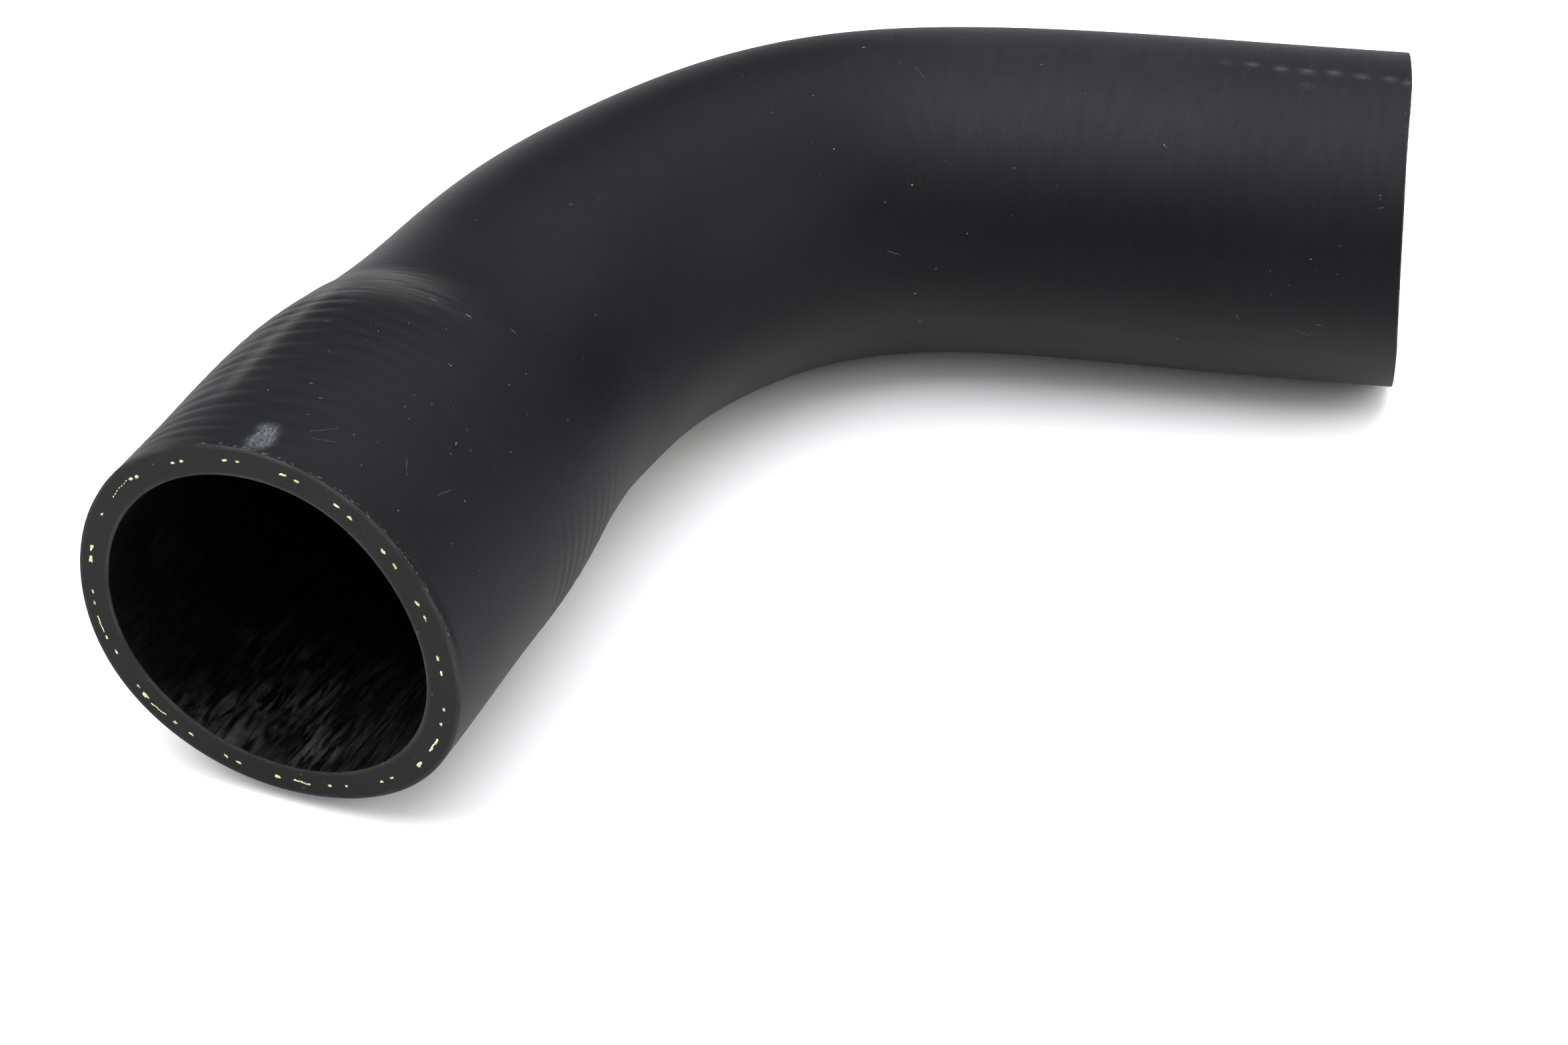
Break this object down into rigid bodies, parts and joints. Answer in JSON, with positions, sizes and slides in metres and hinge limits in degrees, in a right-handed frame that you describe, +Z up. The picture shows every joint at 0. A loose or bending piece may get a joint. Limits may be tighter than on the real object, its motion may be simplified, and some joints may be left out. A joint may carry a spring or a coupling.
{
  "type": "charge air hose",
  "caption": "Moulded rubber elbow hose with a wider bell socket at one end and a plain cut end at the other, open right through, lying on its side.",
  "frame": {"origin": "middle of the footprint, on the surface that the hose lies on", "axes": "+X points out of the plain end, along the plain leg; the socket end opens towards -Y; +Z is up, off the surface"},
  "size_m": [0.1698, 0.1596, 0.0587],
  "materials": {
    "rubber": "black vulcanised rubber, satin, with fine moulding ripples"
  },
  "bodies": {
    "root": {"hose_body": "rubber"}
  },
  "joints": []
}
